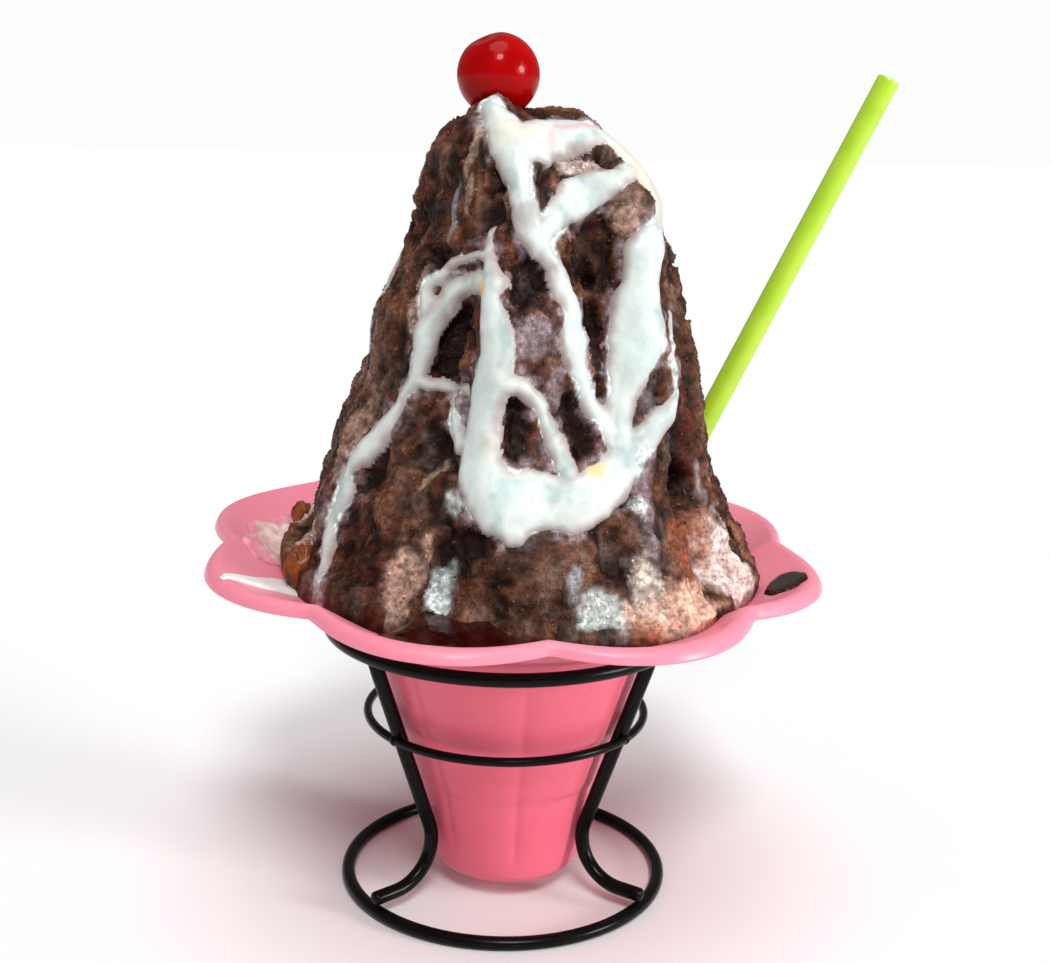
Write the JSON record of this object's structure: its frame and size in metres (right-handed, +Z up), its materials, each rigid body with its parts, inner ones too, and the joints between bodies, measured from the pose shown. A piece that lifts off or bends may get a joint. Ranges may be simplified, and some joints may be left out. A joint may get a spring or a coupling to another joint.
{
  "type": "shaved ice dessert",
  "caption": "Tall mound of syrup-soaked shaved ice with a milk drizzle, cherry and straw, heaped in a petal-rimmed plastic cup that stands in a wire holder.",
  "frame": {"origin": "middle of the bounding box's bottom, on the table that the holder's foot ring stands on", "axes": "+Z up; -Y is the front, the side that shows most of the milk drizzle; +X is to the right, the side that the straw leans to"},
  "size_m": [0.1669, 0.1496, 0.2092],
  "materials": {
    "pink_plastic": "satin, slightly translucent moulded plastic",
    "syrup_ice": "wet granular ice soaked in chocolate syrup, with milk drizzle",
    "cherry_skin": "wet glossy fruit skin",
    "lime_plastic": "satin translucent tube",
    "black_wire": "gloss black coated wire"
  },
  "bodies": {
    "root": {"cup": "pink_plastic", "ice": "syrup_ice", "cherry": "cherry_skin", "straw": "lime_plastic", "top_ring": "black_wire", "middle_arc_front": "black_wire", "middle_arc_right": "black_wire", "middle_arc_left": "black_wire", "foot_ring": "black_wire", "leg_left": "black_wire", "leg_right": "black_wire", "leg_back": "black_wire"}
  },
  "joints": []
}
